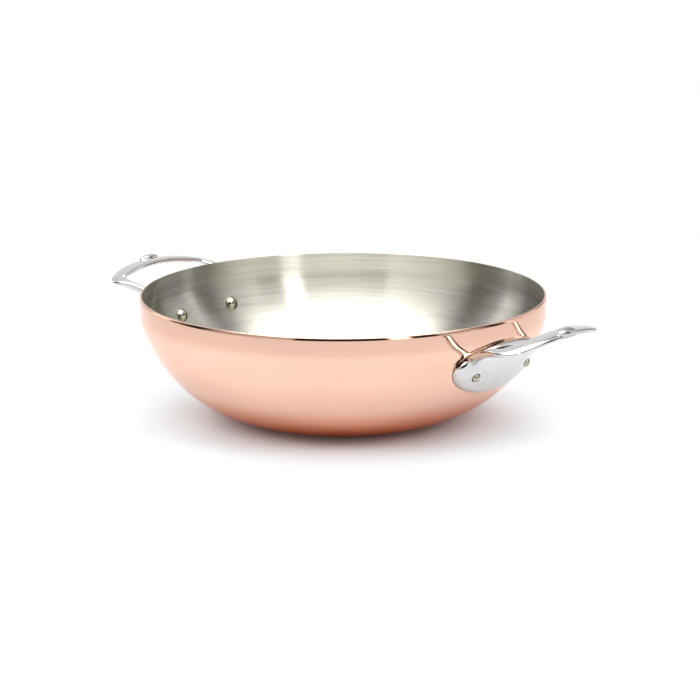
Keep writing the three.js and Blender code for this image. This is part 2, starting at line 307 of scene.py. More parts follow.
def rivet_frame(bowl, rivet, turn):
    """A frame on the outer wall, with Z along the wall's outward normal, at an angle around the bowl."""
    belly, belly_radius, *_ = wall_arcs(bowl)
    up = bowl.height - rivet.depth
    slope = math.acos((belly[1] - up) / belly_radius)
    out = belly[0] + belly_radius * math.sin(slope)
    tilt = Matrix.Translation((out, 0, up)) @ Matrix.Rotation(math.pi - slope, 4, "Y")
    return Matrix.Rotation(turn, 4, "Z") @ tilt


def plate_thickness(handle, across, up):
    """The plate's thickness: full in the middle, less by the squares of its height's and width's shares."""
    away = up - handle.plate_line
    share = np.clip(np.abs(away) / np.where(away > 0, handle.plate_rise, handle.plate_drop), 0, 1)
    end = np.clip(np.abs(across) / handle.plate_half_width, 0, 1)
    crown = (handle.plate_middle - handle.plate_edge) * share**2
    return handle.plate_middle - crown - (handle.plate_middle - handle.plate_end) * end**2


def dome_profile(radius, height, steps):
    """A shallow dome from its crown to its edge: distances from the axis, and below the crown.

    On a ball of radius R they are R sin a and R (1 - cos a).
    """
    ball = (radius**2 + height**2) / (2 * height)
    turn = np.linspace(0, math.asin(radius / ball), steps)
    return ball * np.sin(turn), ball * (1 - np.cos(turn))


def rivet_profile(bowl, handle, rivet):
    """A rivet's section along its axis: domed head, skirt on the lining, shank, dome outside the plate."""
    lining = -(bowl.copper_thickness + bowl.lining_thickness)
    seat = lining - HEAD_SEAT
    head_out, head_drop = dome_profile(rivet.head_radius, rivet.head_height, HEAD_STEPS)
    under = lining + SKIRT_ROUND
    skirt_out = [rivet.head_radius, rivet.head_radius - SKIRT_ROUND, rivet.shank_radius]
    skirt_up = [seat + SKIRT_ROUND, under, under]
    spot = rivet_frame(bowl, rivet, rivet.half_angle).translation
    face = handle.plate_gap + float(plate_thickness(handle, spot.y, spot.z))
    end_out, end_drop = dome_profile(rivet.shank_radius, rivet.end_height, END_STEPS)
    crown = face + rivet.end_stand + rivet.end_height
    return (
        np.concatenate([head_out, skirt_out, end_out[::-1]]),
        np.concatenate([seat - rivet.head_height + head_drop, skirt_up, (crown - end_drop)[::-1]]))


# Handles: stations of the loop, its sections and the plain boss

CROWN_HEIGHT = 100.8 * MM
BAR_END_HEIGHT = 98.2 * MM
CORNER_HEIGHT = 93.8 * MM
ARM_HEIGHT = 90.8 * MM
ROOT_HEIGHT = 79.5 * MM
BAR_BOW = 2.4 * MM
CORNER_RUN = 19 * MM
CORNER_DEPTH = 9.8 * MM
CORNER_WIDTH = 12.8 * MM
CORNER_THICKNESS = 4.8 * MM
CORNER_DROOP = math.radians(12)
ARM_DEPTH = 30 * MM
ARM_DRAW_IN = 0.8 * MM
ROOT_HALF_SPREAD = 38 * MM
ROOT_SINK = 3.2 * MM
BAR_SQUARENESS = 2.3
ARM_SQUARENESS = 2.8
BOSS_HALF_SIZES = (4.4 * MM, 10 * MM, 2.9 * MM)
BOSS_SHIFT = 5 * MM
BOSS_SINK = 0.6 * MM
BOSS_DROOP = math.radians(20)
BOSS_BLEND = 0.4 * MM
HOLE_ROUND = 0.4 * MM

# How finely the casting's surface is worked out
LOOP_SAMPLES = 241
BLOCK = 20000
FAR = 20 * MM
FIELD_STEP = 0.55 * MM
FIELD_MARGIN = 4 * FIELD_STEP
SLIDES = 3
LONGEST_SLIDE = 0.5 * FIELD_STEP
SLIDE_PROBE = 0.02 * MM
NORMAL_PROBE = 0.15 * MM
LEAST_SHARE = 1e-4
LEAST_SLOPE = 0.5
LEAST_LENGTH = 1e-6 * MM


def spline(stations, shares):
    """A centripetal Catmull-Rom curve through stations, at shares of its length counted in stations.

    Between two stations it is a Hermite cubic whose end slopes weigh the neighbouring steps by the square
    root of their lengths.
    """
    ends = np.concatenate([[2 * stations[0] - stations[1]], stations, [2 * stations[-1] - stations[-2]]])
    step = np.sqrt(np.linalg.norm(np.diff(ends, axis=0), axis=1))
    place = shares * (len(stations) - 1)
    index = np.minimum(place.astype(int), len(stations) - 2)
    t = (place - index)[:, None]
    a, b, c, d = (ends[index + k] for k in range(4))
    before, here, after = (step[index + k][:, None] for k in range(3))
    leave = here * ((b - a) / before - (c - a) / (before + here) + (c - b) / here)
    arrive = here * ((c - b) / here - (d - b) / (here + after) + (d - c) / after)
    return (
        (2 * t**3 - 3 * t**2 + 1) * b + (t**3 - 2 * t**2 + t) * leave
        + (3 * t**2 - 2 * t**3) * c + (t**3 - t**2) * arrive)


def eased(values, shares):
    """Values between stations, from one to the next by 3t^2 - 2t^3."""
    place = shares * (len(values) - 1)
    index = np.minimum(place.astype(int), len(values) - 2)
    t = (place - index)[:, None]
    weight = t * t * (3 - 2 * t)
    return values[index] * (1 - weight) + values[index + 1] * weight


def loop_frames(bowl, handle):
    """Samples along the loop: section centres, directions, half widths, half thicknesses and squareness.

    The middle of the top face follows the spline. Outward is level and square to the path, lowered by the
    droop, and the section hangs under the top face.
    """
    _, _, shoulder, shoulder_radius, _ = wall_arcs(bowl)
    at_root = shoulder[0] + math.sqrt(shoulder_radius**2 - (shoulder[1] - ROOT_HEIGHT) ** 2)
    root = math.sqrt(at_root**2 - ROOT_HALF_SPREAD**2) + ROOT_SINK
    bar = (handle.bar_width, handle.bar_thickness, handle.bar_droop, BAR_SQUARENESS)
    corner = (CORNER_WIDTH, CORNER_THICKNESS, CORNER_DROOP, BAR_SQUARENESS)
    arm = (handle.arm_width, handle.arm_thickness, 0, ARM_SQUARENESS)
    half = np.array([
        (handle.reach, 0, CROWN_HEIGHT, *bar),
        (handle.reach - BAR_BOW, handle.half_spread - CORNER_RUN, BAR_END_HEIGHT, *bar),
        (handle.reach - CORNER_DEPTH, handle.half_spread, CORNER_HEIGHT, *corner),
        (handle.reach - ARM_DEPTH, handle.half_spread - ARM_DRAW_IN, ARM_HEIGHT, *arm),
        (root, ROOT_HALF_SPREAD, ROOT_HEIGHT, *arm)])
    stations = np.concatenate([half[:0:-1] * (1, -1, 1, 1, 1, 1, 1), half])
    shares = np.linspace(0, 1, LOOP_SAMPLES)
    path = spline(stations[:, :3], shares)
    width, thickness, droop, squareness = eased(stations[:, 3:], shares).T
    along = np.gradient(path, axis=0)
    along /= np.linalg.norm(along, axis=1, keepdims=True)
    outward = np.stack([along[:, 1], -along[:, 0], np.zeros(len(along))], axis=1)
    outward /= np.linalg.norm(outward, axis=1, keepdims=True)
    upward = np.cross(outward, along)
    upward /= np.linalg.norm(upward, axis=1, keepdims=True)
    cos, sin = np.cos(droop)[:, None], np.sin(droop)[:, None]
    outward, upward = outward * cos - upward * sin, upward * cos + outward * sin
    centre = path - upward * thickness[:, None] / 2
    return centre, along, outward, upward, width / 2, thickness / 2, squareness


def nearest_sample(centre, points):
    """The index of the sample nearest to each point, worked out block by block to spare memory."""
    blocks = np.array_split(points, len(points) // BLOCK + 1)
    return np.concatenate([np.argmin((centre**2).sum(1) - 2 * block @ centre.T, axis=1) for block in blocks])


def loop_distance(frames, points):
    """Distance to the loop: in the section nearest to a point, a squared oval with |a/A|^n + |b/B|^n = 1.

    The distance is (|a/A|^n + |b/B|^n)^(1/n) less 1, over the length of its gradient.
    """
    centre, along, outward, upward, half_width, half_thickness, squareness = frames
    near = nearest_sample(centre, points)
    run = np.einsum("ij,ij->i", points - centre[near], along[near])
    other = np.clip(near + np.where(run > 0, 1, -1), 0, len(centre) - 1)
    gap = np.maximum(np.linalg.norm(centre[other] - centre[near], axis=1), LEAST_LENGTH)
    part = np.clip(np.abs(run) / gap, 0, 1)

    def between(values):
        """Values at the points, from one sample to the next in proportion."""
        weight = part[:, None] if values.ndim > 1 else part
        return values[near] * (1 - weight) + values[other] * weight

    away = points - between(centre)
    wide, thick, n = between(half_width), between(half_thickness), between(squareness)
    a = np.abs(np.einsum("ij,ij->i", away, between(outward))) / wide
    b = np.abs(np.einsum("ij,ij->i", away, between(upward))) / thick
    share = np.maximum((a**n + b**n) ** (1 / n), LEAST_SHARE)
    return (share - 1) / np.hypot((a / share) ** (n - 1) / wide, (b / share) ** (n - 1) / thick)


def oval_distance(handle, points):
    """Distance to the plate's outline in YZ: an ellipse above the widest line and a deeper one below."""
    away = points[:, 2] - handle.plate_line
    reach = np.where(away > 0, handle.plate_rise, handle.plate_drop)
    a, b = points[:, 1] / handle.plate_half_width, away / reach
    share = np.maximum(np.hypot(a, b), LEAST_SHARE)
    return (share - 1) * share / np.hypot(a / handle.plate_half_width, b / reach)


def round_both(first, second, radius):
    """Where both distances are negative, with the edge between them rounded to a radius."""
    a, b = first + radius, second + radius
    return np.minimum(np.maximum(a, b), 0) + np.hypot(np.maximum(a, 0), np.maximum(b, 0)) - radius


def blend_either(first, second, radius):
    """Where either distance is negative, with a fillet: the smaller less (radius - gap)^2 / (4 radius)."""
    gap = np.maximum(radius - np.abs(first - second), 0)
    return np.minimum(first, second) - gap**2 / (4 * radius)


def boss_distance(handle, points):
    """Distance to the boss, a tilted ellipsoid: a share of its radius less 1, over the share's slope."""
    cos, sin = math.cos(BOSS_DROOP), math.sin(BOSS_DROOP)
    across, up = points[:, 0] - handle.reach - BOSS_SHIFT, points[:, 2] - CROWN_HEIGHT + BOSS_SINK
    local = np.stack([across * cos - up * sin, points[:, 1], up * cos + across * sin], axis=1)
    unit = local / BOSS_HALF_SIZES
    share = np.maximum(np.linalg.norm(unit, axis=1), LEAST_SHARE)
    return (share - 1) * share / np.linalg.norm(unit / BOSS_HALF_SIZES, axis=1)


def handle_distance(bowl, handle, rivet, frames, points):
    """Distance to one half of the casting: plate, loop and boss, less the bowl and a rivet hole."""
    wall = wall_distance(bowl, points)
    face = wall - handle.plate_gap - plate_thickness(handle, points[:, 1], points[:, 2])
    plate = round_both(face, oval_distance(handle, points), handle.plate_round)
    loop = np.full(len(points), FAR)
    high = points[:, 2] > ROOT_HEIGHT - FAR
    loop[high] = loop_distance(frames, points[high])
    casting = blend_either(plate, loop, handle.fillet)
    casting = blend_either(casting, boss_distance(handle, points), BOSS_BLEND)
    casting = np.maximum(casting, handle.plate_gap - wall)
    spot = rivet_frame(bowl, rivet, rivet.half_angle)
    axis = np.array(spot.to_3x3().col[2])
    away = points - np.array(spot.translation)
    across = np.linalg.norm(away - np.outer(away @ axis, axis), axis=1)
    return -blend_either(-casting, across - rivet.shank_radius - rivet.hole_gap, HOLE_ROUND)


def net_surface(field, axes):
    """Surface nets: a point in each grid cell that the zero level crosses, a quad for each crossed edge.

    A cell's point is the mean of the crossings on its twelve edges, which are linear in the field.
    """
    inside = field < 0
    sizes = field.shape
    step = np.array([axis[1] - axis[0] for axis in axes])
    start = np.array([axis[0] for axis in axes])
    cells = tuple(n - 1 for n in sizes)
    total = np.zeros(cells + (3,), np.float32)
    count = np.zeros(cells, np.int8)
    for axis in range(3):
        low = [slice(None)] * 3
        high = [slice(None)] * 3
        low[axis], high[axis] = slice(0, -1), slice(1, None)
        low, high = tuple(low), tuple(high)
        crossed = inside[low] != inside[high]
        difference = np.where(crossed, field[low] - field[high], 1)
        share = np.where(crossed, field[low] / difference, 0).astype(np.float32)
        first, second = [k for k in range(3) if k != axis]
        for i in (0, 1):
            for j in (0, 1):
                cut = [slice(None)] * 3
                cut[first] = slice(i, sizes[first] - 1 + i)
                cut[second] = slice(j, sizes[second] - 1 + j)
                cut = tuple(cut)
                hit = crossed[cut]
                total[..., axis] += np.where(hit, share[cut], 0)
                total[..., first] += np.where(hit, i, 0)
                total[..., second] += np.where(hit, j, 0)
                count += hit
    filled = count > 0
    place = np.argwhere(filled)
    points = start + step * (place + total[filled] / count[filled][:, None])
    number = np.full(cells, -1, np.int64)
    number[filled] = np.arange(len(place))
    quads = []
    for axis in range(3):
        first, second = (axis + 1) % 3, (axis + 2) % 3
        low = [slice(1, -1)] * 3
        high = [slice(1, -1)] * 3
        low[axis], high[axis] = slice(0, -1), slice(1, None)
        leaving = inside[tuple(low)] & ~inside[tuple(high)]
        entering = ~inside[tuple(low)] & inside[tuple(high)]
        for edges, order in ((leaving, (0, 1, 2, 3)), (entering, (3, 2, 1, 0))):
            at = np.argwhere(edges)
            at[:, first] += 1
            at[:, second] += 1
            around = []
            for i, j in ((1, 1), (0, 1), (0, 0), (1, 0)):
                cell = at.copy()
                cell[:, first] -= i
                cell[:, second] -= j
                around.append(number[tuple(cell.T)])
            quads.append(np.stack([around[k] for k in order], axis=1))
    return points, np.concatenate(quads)


def handle_surface(bowl, handle, rivet):
    """Points, quads and normals of the right handle.

    The field is worked out for one half and mirrored in Y. Each point of the net then slides along the
    field's gradient to its zero level, and the gradient is its normal.
    """
    frames = loop_frames(bowl, handle)
    low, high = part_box("handle_right")
    out, up = (np.arange(low[k] - FIELD_MARGIN, high[k] + FIELD_MARGIN, FIELD_STEP) for k in (0, 2))
    half = FIELD_STEP * (0.5 + np.arange(int((high.y + FIELD_MARGIN) / FIELD_STEP)))
    grid = np.stack(np.meshgrid(out, half, up, indexing="ij"), axis=-1)
    field = handle_distance(bowl, handle, rivet, frames, grid.reshape(-1, 3)).reshape(grid.shape[:3])
    whole = np.concatenate([field[:, ::-1], field], axis=1)
    points, quads = net_surface(whole, [out, np.concatenate([-half[::-1], half]), up])

    def distance(at):
        """The field at points on either half."""
        half_of = np.stack([at[:, 0], np.abs(at[:, 1]), at[:, 2]], axis=1)
        return handle_distance(bowl, handle, rivet, frames, half_of)

    def gradient(at, reach):
        """The field's slope along each axis, over a step to both sides."""
        steps = reach * np.eye(3)
        return np.stack([distance(at + s) - distance(at - s) for s in steps], axis=1) / (2 * reach)

    for _ in range(SLIDES):
        slope = gradient(points, SLIDE_PROBE)
        move = -(distance(points) / np.maximum((slope**2).sum(1), LEAST_SLOPE**2))[:, None] * slope
        reach = np.maximum(np.linalg.norm(move, axis=1, keepdims=True), LEAST_LENGTH)
        points = points + move * np.minimum(1, LONGEST_SLIDE / reach)
    normals = gradient(points, NORMAL_PROBE)
    return np.clip(points, low, high), quads, normals / np.linalg.norm(normals, axis=1, keepdims=True)


# Materials


NOISE_RANGE = (0.3, 0.7)


class NodeMaker:
    """Short calls that add nodes to a tree and link them."""

    def __init__(self, tree):
        self.nodes, self.links = tree.nodes, tree.links
        self.nodes.clear()

    def set(self, node, inputs):
        """Puts a value or a link on each named input."""
        for name, value in inputs.items():
            if isinstance(value, bpy.types.NodeSocket):
                self.links.new(value, node.inputs[name])
            else:
                node.inputs[name].default_value = value

    def add(self, kind, inputs=None, **settings):
        """A new node, with its settings and inputs."""
        node = self.nodes.new("ShaderNode" + kind)
        for name, value in settings.items():
            setattr(node, name, value)
        self.set(node, inputs or {})
        return node

    def math(self, operation, *values):
        """The result of a Math node."""
        return self.add("Math", dict(enumerate(values)), operation=operation).outputs[0]

    def spread(self, value, low, high, start=NOISE_RANGE[0], end=NOISE_RANGE[1], **settings):
        """A value's range, from start to end, moved to another range."""
        ranges = {"From Min": start, "From Max": end, "To Min": low, "To Max": high}
        return self.add("MapRange", {"Value": value, **ranges}, **settings).outputs["Result"]

    def scaled(self, vector, factor):
        """A vector or colour times a factor."""
        return self.add("VectorMath", {0: vector, "Scale": factor}, operation="SCALE").outputs[0]

    def ramp(self, value, stops):
        """The colour that a value from 0 to 1 has between stops, each a place and a colour."""
        node = self.add("ValToRGB", {0: value})
        points = node.color_ramp.elements
        while len(points) < len(stops):
            points.new(0.5)
        for point, (place, tone) in zip(points, stops):
            point.position = place
            point.color = (*tone, 1)
        return node.outputs["Color"]


class Finish(NodeMaker):
    """A material with a metal surface, and the patterns that vary it."""

    def __init__(self, name, base, roughness):
        self.material = bpy.data.materials.new(name)
        self.material.use_nodes = True
        self.material.diffuse_color = (*base, 1)
        super().__init__(self.material.node_tree)
        self.metal = self.add("BsdfPrincipled", {
            "Base Color": (*base, 1), "Metallic": 1.0, "Roughness": roughness})
        self.output = self.add("OutputMaterial", {"Surface": self.metal.outputs["BSDF"]})

    def place(self):
        """Object coordinates."""
        return self.add("TexCoord").outputs["Object"]

    def axes(self):
        """Object coordinates, axis by axis."""
        return self.add("SeparateXYZ", {0: self.place()}).outputs

    def rings(self, around, across):
        """Coordinates for marks that run round the axis: (x, y) on a unit circle and radius plus height.

        around is how often a mark changes on its way round, and across how often per metre of the section.
        """
        axes = self.axes()
        flat = self.add("CombineXYZ", {"X": axes["X"], "Y": axes["Y"]}).outputs[0]
        unit = self.add("VectorMath", {0: flat}, operation="NORMALIZE").outputs[0]
        radius = self.add("VectorMath", {0: flat}, operation="LENGTH").outputs["Value"]
        section = self.math("MULTIPLY", self.math("ADD", radius, axes["Z"]), across)
        lift = self.add("CombineXYZ", {"Z": section}).outputs[0]
        return self.add("VectorMath", {0: self.scaled(unit, around), 1: lift}, operation="ADD").outputs[0]

    def noise(self, vector, scale, detail=2.0, roughness=0.5):
        """A noise texture's value."""
        return self.add("TexNoise", {
            "Vector": vector, "Scale": scale, "Detail": detail, "Roughness": roughness}).outputs["Fac"]

    def bump(self, height, distance, strength):
        """A bump node's normal."""
        return self.add("Bump", {
            "Height": height, "Distance": distance, "Strength": strength}).outputs["Normal"]


# Copper: heights of its painted shade tones, noise of clouds and buffing marks, bump as a depth and a
# strength
SHADE_HEIGHTS = (7 * MM, 38 * MM, 62 * MM, 92 * MM)
CLOUD_SCALE = 14.0
CLOUD_DETAIL = 3.0
CLOUD_TONES = (0.97, 1.02)
BUFFING_RINGS = (2.5, 900.0)
BUFFING_NOISE = (1.0, 3.0, 0.6)
COPPER_ROUGHNESS = (0.045, 0.08)
COPPER_BUMP = (0.02 * MM, 0.05)


def copper_finish(bowl):
    """Mirror-polished copper: faint clouds, buffing marks round the axis, painted shade that follows the
    height.
    """
    finish = Finish("polished_copper", bowl.copper, COPPER_ROUGHNESS[0])
    clouds = finish.noise(finish.place(), CLOUD_SCALE, CLOUD_DETAIL)
    buffing = finish.noise(finish.rings(*BUFFING_RINGS), *BUFFING_NOISE)
    share = finish.math("DIVIDE", finish.axes()["Z"], bowl.height)
    places = [up / bowl.height for up in SHADE_HEIGHTS]
    # Painted shade by height: darker and deeper by the base, plain on the belly, duller on the upright wall;
    # the grazing tint darkens by the base too
    shaded_tones = (bowl.copper_base_shade, bowl.copper, bowl.copper, bowl.copper_wall_shade)
    edges = (bowl.copper_base_shade_edge, bowl.copper_edge)
    tone = finish.ramp(share, list(zip(places, shaded_tones)))
    finish.set(finish.metal, {
        "Base Color": finish.scaled(tone, finish.spread(clouds, *CLOUD_TONES)),
        "Roughness": finish.spread(buffing, *COPPER_ROUGHNESS),
        "Specular Tint": finish.ramp(share, list(zip(places, edges))),
        "Normal": finish.bump(buffing, *COPPER_BUMP),
    })
    return finish.material


# Lining: broad and fine brush streaks, and the hazy part of its reflection
BROAD_RINGS = (1.2, 420.0)
BROAD_NOISE = (1.0, 4.0, 0.62)
FINE_RINGS = (3.0, 1900.0)
FINE_NOISE = (1.0, 3.0, 0.6)
STREAK_TONES = (0.72, 1.2)
LINING_ROUGHNESS = (0.17, 0.23)
LINING_BUMP = (0.05 * MM, 0.2)
QUARTER_TURN = 0.25
HAZE_SHARE = 0.6
HAZE_ROUGHNESS = 0.3
HAZE_ANISOTROPY = 0.83


def lining_finish(bowl):
    """Steel brushed round the axis: a clear and a hazy reflection, both smeared across the brush marks."""
    finish = Finish("brushed_steel", bowl.lining, LINING_ROUGHNESS[0])
    broad = finish.noise(finish.rings(*BROAD_RINGS), *BROAD_NOISE)
    fine = finish.noise(finish.rings(*FINE_RINGS), *FINE_NOISE)
    streaks = finish.math("MULTIPLY", finish.math("ADD", broad, fine), 0.5)
    base = finish.scaled(bowl.lining, finish.spread(streaks, *STREAK_TONES))
    normal = finish.bump(streaks, *LINING_BUMP)
    tangent = finish.add("Tangent", direction_type="RADIAL", axis="Z").outputs[0]
    finish.set(finish.metal, {
        "Base Color": base,
        "Roughness": finish.spread(streaks, *LINING_ROUGHNESS),
        "Anisotropic": 1.0,
        "Anisotropic Rotation": QUARTER_TURN,
        "Tangent": tangent,
        "Normal": normal,
    })
    haze = finish.add("BsdfAnisotropic", {
        "Color": base,
        "Roughness": HAZE_ROUGHNESS,
        "Anisotropy": HAZE_ANISOTROPY,
        "Tangent": tangent,
        "Normal": normal,
    })
    both = finish.add("MixShader", {0: HAZE_SHARE, 1: finish.metal.outputs[0], 2: haze.outputs[0]})
    finish.set(finish.output, {"Surface": both.outputs[0]})
    return finish.material


# Casting: noise scales of its skin, and how much darker, rougher and lumpier the boss is
WAVE_SCALE = 160.0
WAVE_TONES = (0.96, 1.03)
SCRATCH_SCALE = 1500.0
LUMP_SCALE = 520.0
LUMP_WEIGHT = 4.0
CASTING_ROUGHNESS = (0.04, 0.08)
CASTING_BUMP = (0.12 * MM, 0.1)
BOSS_EDGE = (0.75, 1.05)
BOSS_TONE = 0.62
BOSS_SATIN = 0.22


def boss_share(finish, handle):
    """How far out a point lies from the boss's middle, seen from above: 1 on the boss's outline."""
    axes = finish.axes()
    out = finish.math("SUBTRACT", finish.math("ABSOLUTE", axes["X"]), handle.reach + BOSS_SHIFT)
    flat = finish.add("CombineXYZ", {
        "X": finish.math("DIVIDE", out, BOSS_HALF_SIZES[0]),
        "Y": finish.math("DIVIDE", axes["Y"], BOSS_HALF_SIZES[1])}).outputs[0]
    return finish.add("VectorMath", {0: flat}, operation="LENGTH").outputs["Value"]


def cast_finish(handle):
    """Polished casting: slow waves of the skin, fine scratches and a darker, satin, lumpy boss."""
    finish = Finish("polished_casting", handle.steel, CASTING_ROUGHNESS[0])
    waves = finish.noise(finish.place(), WAVE_SCALE)
    scratches = finish.noise(finish.place(), SCRATCH_SCALE)
    lumps = finish.noise(finish.place(), LUMP_SCALE)
    boss = finish.spread(boss_share(finish, handle), 1.0, 0.0, *BOSS_EDGE)
    darker = finish.spread(boss, 1.0, BOSS_TONE, 0.0, 1.0)
    tone = finish.math("MULTIPLY", finish.spread(waves, *WAVE_TONES), darker)
    boss_lumps = finish.math("MULTIPLY", boss, finish.math("MULTIPLY", lumps, LUMP_WEIGHT))
    satin = finish.math("MULTIPLY", boss, BOSS_SATIN)
    finish.set(finish.metal, {
        "Base Color": finish.scaled(handle.steel, tone),
        "Roughness": finish.math("ADD", finish.spread(scratches, *CASTING_ROUGHNESS), satin),
        "Normal": finish.bump(finish.math("ADD", waves, boss_lumps), *CASTING_BUMP),
    })
    return finish.material


# Rivets: small hammer marks
HAMMER_SCALE = 420.0
HAMMER_DETAIL = 3.0
RIVET_TONES = (0.9, 1.05)
RIVET_ROUGHNESS = (0.12, 0.2)
RIVET_BUMP = (0.1 * MM, 0.15)


def rivet_finish(rivet):
    """Polished rivet steel with small hammer marks."""
    finish = Finish("rivet_steel", rivet.steel, RIVET_ROUGHNESS[0])
    marks = finish.noise(finish.place(), HAMMER_SCALE, HAMMER_DETAIL)
    finish.set(finish.metal, {
        "Base Color": finish.scaled(rivet.steel, finish.spread(marks, *RIVET_TONES)),
        "Roughness": finish.spread(marks, *RIVET_ROUGHNESS),
        "Normal": finish.bump(marks, *RIVET_BUMP),
    })
    return finish.material


# Builders


def finished(piece, node, material):
    """A piece that stands for a CAD node and carries its finish."""
    piece.data.materials.append(material)
    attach(piece, "root")
    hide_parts(node)


class WOK_OT_copper_shell(Operator):
    """Builds the polished copper shell"""

    bl_idname = "wok.copper_shell"
    bl_label = "Copper shell"

    def execute(self, context):
        bowl = context.scene.wok_bowl
        piece = new_object("shell", *turned_grid(*shell_profile(bowl), TURN_STEPS))
        finished(piece, "copper_body", copper_finish(bowl))
        return {"FINISHED"}


class WOK_OT_steel_lining(Operator):
    """Builds the brushed steel lining"""

    bl_idname = "wok.steel_lining"
    bl_label = "Steel lining"

    def execute(self, context):
        bowl = context.scene.wok_bowl
        piece = new_object("lining", *turned_grid(*lining_profile(bowl), TURN_STEPS))
        finished(piece, "steel_lining", lining_finish(bowl))
        return {"FINISHED"}


class WOK_OT_cast_handles(Operator):
    """Builds both cast handles"""

    bl_idname = "wok.cast_handles"
    bl_label = "Cast handles"

    def execute(self, context):
        scene = context.scene
        points, quads, normals = handle_surface(scene.wok_bowl, scene.wok_handle, scene.wok_rivet)
        material = cast_finish(scene.wok_handle)
        for side, sign in (("right", 1), ("left", -1)):
            turn = np.array([sign, sign, 1])
            piece = new_object(f"cast_{side}", points * turn, quads)
            piece.data.normals_split_custom_set_from_vertices(normals * turn)
            finished(piece, f"handle_{side}", material)
        return {"FINISHED"}


class WOK_OT_rivets(Operator):
    """Builds the four rivets"""

    bl_idname = "wok.rivets"
    bl_label = "Rivets"

    def execute(self, context):
        scene = context.scene
        bowl, rivet = scene.wok_bowl, scene.wok_rivet
        points, quads, triangles = turned_grid(*rivet_profile(bowl, scene.wok_handle, rivet), RIVET_STEPS)
        material = rivet_finish(rivet)
        for side, turn in (("right", 0), ("left", math.pi)):
            front = -1 if side == "right" else 1
            for end, sign in (("front", front), ("back", -front)):
                place = np.array(rivet_frame(bowl, rivet, turn + sign * rivet.half_angle))
                piece = new_object(
                    f"stud_{side}_{end}", points @ place[:3, :3].T + place[:3, 3], quads, triangles)
                finished(piece, f"rivet_{side}_{end}", material)
        return {"FINISHED"}


# Studio

SENSOR_WIDTH = 36.0
PICTURE_WIDTH = 700.0
RIM_OFF_CENTRE = (6.9, 58.085)


def camera_matrix(studio, target):
    """The camera's place and turn: on its ray from the rim's middle, with that middle off centre."""
    cos, sin = math.cos(studio.elevation), math.sin(studio.elevation)
    back = Vector((math.sin(studio.azimuth) * cos, -math.cos(studio.azimuth) * cos, sin))
    right = Vector((math.cos(studio.azimuth), math.sin(studio.azimuth), 0))
    up = back.cross(right)
    focal = studio.lens / SENSOR_WIDTH * PICTURE_WIDTH
    off_x, off_y = RIM_OFF_CENTRE
    cos, sin = math.cos(studio.roll), math.sin(studio.roll)
    across, down = off_x * cos + off_y * sin, off_y * cos - off_x * sin
    aim = (right * across - up * down - back * focal).normalized()
    rolled = right * cos + up * sin
    side = (rolled - aim * rolled.dot(aim)).normalized()
    turn = Matrix((side, side.cross(aim), -aim)).transposed()
    return Matrix.Translation(target + back * studio.distance) @ turn.to_4x4()


# Panels and the dark gaps between them, as degrees from the camera, plus to the right, and brightness
PANELS = (
    (-180, 1.2), (-150, 1.1), (-146, 0.9), (-134, 1.0), (-130, 1.9), (-115, 1.9), (-109, 0.3), (-100, 0.2),
    (-98, 0.02), (-86, 0.02), (-79, 0.45), (-70, 0.7), (-28, 0.9), (-27, 0.02), (25, 0.02), (26, 3.0),
    (37, 3.0), (38, 0.04), (53, 0.04), (55, 0.75), (78, 0.7), (86, 0.3), (89, 0.02), (100, 0.02),
    (102, 1.5), (107, 1.5), (109, 1.0), (132, 1.2), (140, 0.5), (154, 0.4), (158, 1.1), (180, 1.2),
)
RAMP_TOP = 3.0
SOFTBOX_LEAN = math.radians(8)
SOFTBOX_EDGES = (0.67, 0.86)


def studio_world(studio):
    """A studio all round: even light for the floor, and in reflections a softbox over side panels.

    The panels and the gaps between them follow the angle from the camera. The softbox covers the directions
    whose cosine to its own lies over its edges. The camera itself sees plain white.
    """
    world = bpy.data.worlds.new("studio")
    world.use_nodes = True
    sky = NodeMaker(world.node_tree)
    turned = sky.add("Mapping", {
        "Vector": sky.add("TexCoord").outputs["Generated"],
        "Rotation": (0, 0, math.pi / 2 - studio.azimuth)}, vector_type="POINT").outputs[0]
    axes = sky.add("SeparateXYZ", {0: turned}).outputs
    around = sky.math("ARCTAN2", axes["Y"], axes["X"])
    share = sky.math("ADD", sky.math("MULTIPLY", around, 1 / math.tau), 0.5)
    stops = [((degrees + 180) / 360, [strength / RAMP_TOP] * 3) for degrees, strength in PANELS]
    side = sky.math("MULTIPLY", sky.ramp(share, stops), RAMP_TOP * studio.panels)
    upward = (math.sin(SOFTBOX_LEAN), 0, math.cos(SOFTBOX_LEAN))
    height = sky.add("VectorMath", {0: turned, 1: upward}, operation="DOT_PRODUCT").outputs["Value"]
    softbox = sky.spread(height, 0.0, 1.0, *SOFTBOX_EDGES, interpolation_type="SMOOTHSTEP")
    over = sky.math("MULTIPLY", softbox, studio.overhead)
    beside = sky.math("MULTIPLY", side, sky.math("SUBTRACT", 1.0, softbox))
    rays = sky.add("LightPath").outputs
    mirrored, seen = rays["Is Glossy Ray"], rays["Is Camera Ray"]
    reflected = sky.math("MULTIPLY", sky.math("ADD", over, beside), mirrored)
    even = sky.math("MULTIPLY", sky.math("SUBTRACT", 1.0, mirrored), studio.dome)
    lit = sky.math("MULTIPLY", sky.math("ADD", reflected, even), sky.math("SUBTRACT", 1.0, seen))
    background = sky.add("Background", {"Strength": sky.math("ADD", lit, seen)})
    sky.add("OutputWorld", {"Surface": background.outputs[0]})
    return world


FLOOR_REACH = 12.0
# Low lamps, as degrees counter-clockwise from the camera's right, and watts
LAMPS = ((0, 0.08), (90, 0.28), (135, 0.19), (180, 0.07), (225, 0.31), (270, 0.1), (315, 0.37))
LAMP_TINT = (0.88, 0.97, 1.0)
LAMP_SIZE = 0.35
LAMP_DISTANCE = 1.0
LAMP_ELEVATION = math.radians(36)
LAMP_SPREAD = math.radians(56)


